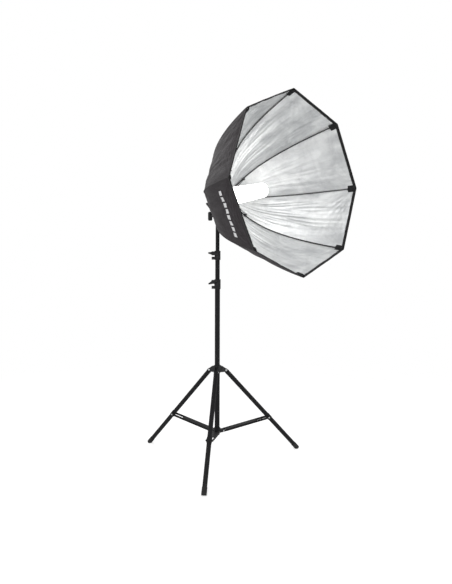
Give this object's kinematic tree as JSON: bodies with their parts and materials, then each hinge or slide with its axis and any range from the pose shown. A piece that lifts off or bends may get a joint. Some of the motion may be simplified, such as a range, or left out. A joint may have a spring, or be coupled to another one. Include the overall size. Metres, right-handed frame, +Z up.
{
  "type": "studio softbox",
  "caption": "Octagonal umbrella softbox with a lamp head and lit bulb, tilting on a telescopic folding tripod light stand.",
  "frame": {"origin": "on the floor, under the middle of the object's box; the stand's axis is at X = -0.0219 m, Y = 0.0477 m", "axes": "+Z up; the softbox faces -Y and is tilted up by 4.85 degrees at rest; +X is square to both"},
  "size_m": [0.8438, 1.0106, 1.7336],
  "materials": {
    "cloth": "woven nylon, black outside, silver lining",
    "rib_steel": "black lacquered spring steel",
    "rubber": "matt moulded rubber",
    "black_paint": "satin black powder coat",
    "bright_steel": "bright zinc",
    "bulb_glass": "opal, lit",
    "bulb_collar": "white moulded plastic",
    "switch_plastic": "black moulded rocker",
    "black_plastic": "textured black moulding"
  },
  "bodies": {
    "base": {"base_tube": "black_paint", "base_plug": "black_plastic", "lower_lock_collar": "black_plastic", "brace_collar": "black_plastic"},
    "lower_lock_knob": {"lower_lock_knob": "black_plastic"},
    "leg_collar": {"leg_collar": "black_plastic"},
    "leg_collar_knob": {"leg_collar_knob": "black_plastic"},
    "middle": {"middle_tube": "black_paint", "upper_lock_collar": "black_plastic"},
    "upper_lock_knob": {"upper_lock_knob": "black_plastic"},
    "top": {"top_tube": "black_paint", "spigot": "bright_steel"},
    "adapter": {"stand_adapter": "black_plastic"},
    "adapter_knob": {"adapter_knob": "black_plastic"},
    "tilt_lever": {"tilt_lever": "black_plastic"},
    "head": {"lamp_bracket": "black_plastic", "housing_front": "black_plastic", "housing_rear": "black_plastic", "housing_screws": "bright_steel", "lamp_socket": "black_plastic", "power_inlet": "black_plastic", "switch_frame": "black_plastic", "rib_hub": "black_plastic", "bulb_globe": "bulb_glass", "bulb_base": "bulb_collar"},
    "power_switch": {"power_switch": "switch_plastic"},
    "runner": {"runner": "black_plastic"},
    "leg_1": {"leg_1": "black_paint", "foot_1": "rubber"},
    "brace_1": {"brace_1": "black_paint"},
    "leg_2": {"leg_2": "black_paint", "foot_2": "rubber"},
    "brace_2": {"brace_2": "black_paint"},
    "leg_3": {"leg_3": "black_paint", "foot_3": "rubber"},
    "brace_3": {"brace_3": "black_paint"},
    "rib_1": {"rib_1": "rib_steel", "gore_1": "cloth"},
    "stretcher_1": {"stretcher_1": "rib_steel"},
    "rib_2": {"rib_2": "rib_steel", "gore_2": "cloth"},
    "stretcher_2": {"stretcher_2": "rib_steel"},
    "rib_3": {"rib_3": "rib_steel", "gore_3": "cloth"},
    "stretcher_3": {"stretcher_3": "rib_steel"},
    "rib_4": {"rib_4": "rib_steel", "gore_4": "cloth"},
    "stretcher_4": {"stretcher_4": "rib_steel"},
    "rib_5": {"rib_5": "rib_steel", "gore_5": "cloth"},
    "stretcher_5": {"stretcher_5": "rib_steel"},
    "rib_6": {"rib_6": "rib_steel", "gore_6": "cloth"},
    "stretcher_6": {"stretcher_6": "rib_steel"},
    "rib_7": {"rib_7": "rib_steel", "gore_7": "cloth"},
    "stretcher_7": {"stretcher_7": "rib_steel"},
    "rib_8": {"rib_8": "rib_steel", "gore_8": "cloth"},
    "stretcher_8": {"stretcher_8": "rib_steel"}
  },
  "joints": [
    {"name": "stand_fold", "type": "slide", "parent": "base", "child": "leg_collar", "axis": [0, 0, 1], "range_m": [0, 0.3081]},
    {"name": "leg_1_hinge", "type": "hinge", "parent": "leg_collar", "child": "leg_1", "pos_m": [-0.0548, 0.01849, 0.4516], "axis": [0.6639, -0.7478, 0], "range_deg": [-0.01, 41.24]},
    {"name": "brace_1_hinge", "type": "hinge", "parent": "base", "child": "brace_1", "pos_m": [-0.04321, 0.02878, 0.1475], "axis": [-0.6639, 0.7478, 0], "range_deg": [-0.01, 76.5]},
    {"name": "leg_2_hinge", "type": "hinge", "parent": "leg_collar", "child": "leg_2", "pos_m": [0.01985, 0.03381, 0.4516], "axis": [0.3156, 0.9489, 0], "range_deg": [-0.01, 41.24]},
    {"name": "brace_2_hinge", "type": "hinge", "parent": "base", "child": "brace_2", "pos_m": [0.00514, 0.0387, 0.1475], "axis": [-0.3156, -0.9489, 0], "range_deg": [-0.01, 76.5]},
    {"name": "leg_3_hinge", "type": "hinge", "parent": "leg_collar", "child": "leg_3", "pos_m": [-0.03075, 0.0908, 0.4516], "axis": [-0.9796, -0.2011, 0], "range_deg": [-0.01, 41.24]},
    {"name": "brace_3_hinge", "type": "hinge", "parent": "base", "child": "brace_3", "pos_m": [-0.02763, 0.07562, 0.1475], "axis": [0.9796, 0.2011, 0], "range_deg": [-0.01, 76.5]},
    {"name": "lower_lock_turn", "type": "hinge", "parent": "base", "child": "lower_lock_knob", "pos_m": [-0.03805, 0.06189, 0.8895], "axis": [-0.66, -0.7513, 0], "range_deg": [0, 180]},
    {"name": "upper_lock_turn", "type": "hinge", "parent": "middle", "child": "upper_lock_knob", "pos_m": [-0.03805, 0.06189, 1.0285], "axis": [-0.66, -0.7513, 0], "range_deg": [0, 180]},
    {"name": "leg_lock_turn", "type": "hinge", "parent": "leg_collar", "child": "leg_collar_knob", "pos_m": [0.00053, 0.06762, 0.467], "axis": [0.7478, 0.6639, 0], "range_deg": [0, 180]},
    {"name": "adapter_lock_turn", "type": "hinge", "parent": "adapter", "child": "adapter_knob", "pos_m": [-0.0219, 0.0777, 1.209], "axis": [0, 1, 0], "range_deg": [0, 180]},
    {"name": "tilt_lever_turn", "type": "hinge", "parent": "adapter", "child": "tilt_lever", "pos_m": [-0.0219, 0.0477, 1.24], "axis": [1, 0, 0], "range_deg": [0, 75]},
    {"name": "middle_slide", "type": "slide", "parent": "base", "child": "middle", "axis": [0, 0, 1], "range_m": [-0.092, 0.44]},
    {"name": "top_slide", "type": "slide", "parent": "middle", "child": "top", "axis": [0, 0, 1], "range_m": [-0.138, 0.39]},
    {"name": "head_pan", "type": "hinge", "parent": "top", "child": "adapter", "pos_m": [-0.0219, 0.0477, 1.2], "axis": [0, 0, 1], "continuous": true},
    {"name": "head_tilt", "type": "hinge", "parent": "adapter", "child": "head", "pos_m": [-0.0219, 0.0477, 1.24], "axis": [-1, 0, 0], "range_deg": [-30, 45]},
    {"name": "switch_rock", "type": "hinge", "parent": "head", "child": "power_switch", "pos_m": [-0.0219, 0.07536, 1.29768], "axis": [1, 0, 0], "range_deg": [0, 11]},
    {"name": "umbrella_fold", "type": "hinge", "parent": "head", "child": "rib_1", "pos_m": [-0.0219, -0.00892, 1.33193], "axis": [1, 0, 0], "range_deg": [0, 30], "deforming": ["gore_1"]},
    {"name": "stretcher_1_hinge", "type": "hinge", "parent": "rib_1", "child": "stretcher_1", "pos_m": [-0.0219, -0.0432, 1.41927], "axis": [1, 0, 0], "range_deg": [-0.01, 11.56]},
    {"name": "rib_2_hinge", "type": "hinge", "parent": "head", "child": "rib_2", "pos_m": [0.00356, -0.00981, 1.32143], "axis": [0.7071, -0.0598, -0.7046], "range_deg": [-0.01, 30.01], "deforming": ["gore_2"]},
    {"name": "stretcher_2_hinge", "type": "hinge", "parent": "rib_2", "child": "stretcher_2", "pos_m": [0.06304, -0.04618, 1.38421], "axis": [0.7071, -0.0598, -0.7046], "range_deg": [-0.01, 11.56]},
    {"name": "rib_3_hinge", "type": "hinge", "parent": "head", "child": "rib_3", "pos_m": [0.0141, -0.01196, 1.29606], "axis": [0, -0.0845, -0.9964], "range_deg": [-0.01, 30.01], "deforming": ["gore_3"]},
    {"name": "stretcher_3_hinge", "type": "hinge", "parent": "rib_3", "child": "stretcher_3", "pos_m": [0.09823, -0.05336, 1.29957], "axis": [0, -0.0845, -0.9964], "range_deg": [-0.01, 11.56]},
    {"name": "rib_4_hinge", "type": "hinge", "parent": "head", "child": "rib_4", "pos_m": [0.00356, -0.01411, 1.2707], "axis": [-0.7071, -0.0598, -0.7046], "range_deg": [-0.01, 30.01], "deforming": ["gore_4"]},
    {"name": "stretcher_4_hinge", "type": "hinge", "parent": "rib_4", "child": "stretcher_4", "pos_m": [0.06304, -0.06054, 1.21494], "axis": [-0.7071, -0.0598, -0.7046], "range_deg": [-0.01, 11.56]},
    {"name": "rib_5_hinge", "type": "hinge", "parent": "head", "child": "rib_5", "pos_m": [-0.0219, -0.015, 1.26019], "axis": [-1, 0, 0], "range_deg": [-0.01, 30.01], "deforming": ["gore_5"]},
    {"name": "stretcher_5_hinge", "type": "hinge", "parent": "rib_5", "child": "stretcher_5", "pos_m": [-0.0219, -0.06351, 1.17988], "axis": [-1, 0, 0], "range_deg": [-0.01, 11.56]},
    {"name": "rib_6_hinge", "type": "hinge", "parent": "head", "child": "rib_6", "pos_m": [-0.04736, -0.01411, 1.2707], "axis": [-0.7071, 0.0598, 0.7046], "range_deg": [-0.01, 30.01], "deforming": ["gore_6"]},
    {"name": "stretcher_6_hinge", "type": "hinge", "parent": "rib_6", "child": "stretcher_6", "pos_m": [-0.10684, -0.06054, 1.21494], "axis": [-0.7071, 0.0598, 0.7046], "range_deg": [-0.01, 11.56]},
    {"name": "rib_7_hinge", "type": "hinge", "parent": "head", "child": "rib_7", "pos_m": [-0.0579, -0.01196, 1.29606], "axis": [0, 0.0845, 0.9964], "range_deg": [-0.01, 30.01], "deforming": ["gore_7"]},
    {"name": "stretcher_7_hinge", "type": "hinge", "parent": "rib_7", "child": "stretcher_7", "pos_m": [-0.14203, -0.05336, 1.29957], "axis": [0, 0.0845, 0.9964], "range_deg": [-0.01, 11.56]},
    {"name": "rib_8_hinge", "type": "hinge", "parent": "head", "child": "rib_8", "pos_m": [-0.04736, -0.00981, 1.32143], "axis": [0.7071, 0.0598, 0.7046], "range_deg": [-0.01, 30.01], "deforming": ["gore_8"]},
    {"name": "stretcher_8_hinge", "type": "hinge", "parent": "rib_8", "child": "stretcher_8", "pos_m": [-0.10684, -0.04618, 1.38421], "axis": [0.7071, 0.0598, 0.7046], "range_deg": [-0.01, 11.56]},
    {"name": "runner_slide", "type": "slide", "parent": "head", "child": "runner", "axis": [0, 0.9964, -0.0845], "range_m": [-0.00001, 0.01518]}
  ],
  "couplings": [
    {"joint": "leg_1_hinge", "follows": "stand_fold", "rad_per_m": 2.3353},
    {"joint": "brace_1_hinge", "follows": "stand_fold", "rad_per_m": 4.3322},
    {"joint": "leg_2_hinge", "follows": "stand_fold", "rad_per_m": 2.3353},
    {"joint": "brace_2_hinge", "follows": "stand_fold", "rad_per_m": 4.3322},
    {"joint": "leg_3_hinge", "follows": "stand_fold", "rad_per_m": 2.3353},
    {"joint": "brace_3_hinge", "follows": "stand_fold", "rad_per_m": 4.3322},
    {"joint": "stretcher_1_hinge", "follows": "umbrella_fold", "ratio": 0.38454},
    {"joint": "rib_2_hinge", "follows": "umbrella_fold", "ratio": 1},
    {"joint": "stretcher_2_hinge", "follows": "umbrella_fold", "ratio": 0.38454},
    {"joint": "rib_3_hinge", "follows": "umbrella_fold", "ratio": 1},
    {"joint": "stretcher_3_hinge", "follows": "umbrella_fold", "ratio": 0.38454},
    {"joint": "rib_4_hinge", "follows": "umbrella_fold", "ratio": 1},
    {"joint": "stretcher_4_hinge", "follows": "umbrella_fold", "ratio": 0.38454},
    {"joint": "rib_5_hinge", "follows": "umbrella_fold", "ratio": 1},
    {"joint": "stretcher_5_hinge", "follows": "umbrella_fold", "ratio": 0.38454},
    {"joint": "rib_6_hinge", "follows": "umbrella_fold", "ratio": 1},
    {"joint": "stretcher_6_hinge", "follows": "umbrella_fold", "ratio": 0.38454},
    {"joint": "rib_7_hinge", "follows": "umbrella_fold", "ratio": 1},
    {"joint": "stretcher_7_hinge", "follows": "umbrella_fold", "ratio": 0.38454},
    {"joint": "rib_8_hinge", "follows": "umbrella_fold", "ratio": 1},
    {"joint": "stretcher_8_hinge", "follows": "umbrella_fold", "ratio": 0.38454},
    {"joint": "runner_slide", "follows": "umbrella_fold", "m_per_rad": 0.028949}
  ]
}
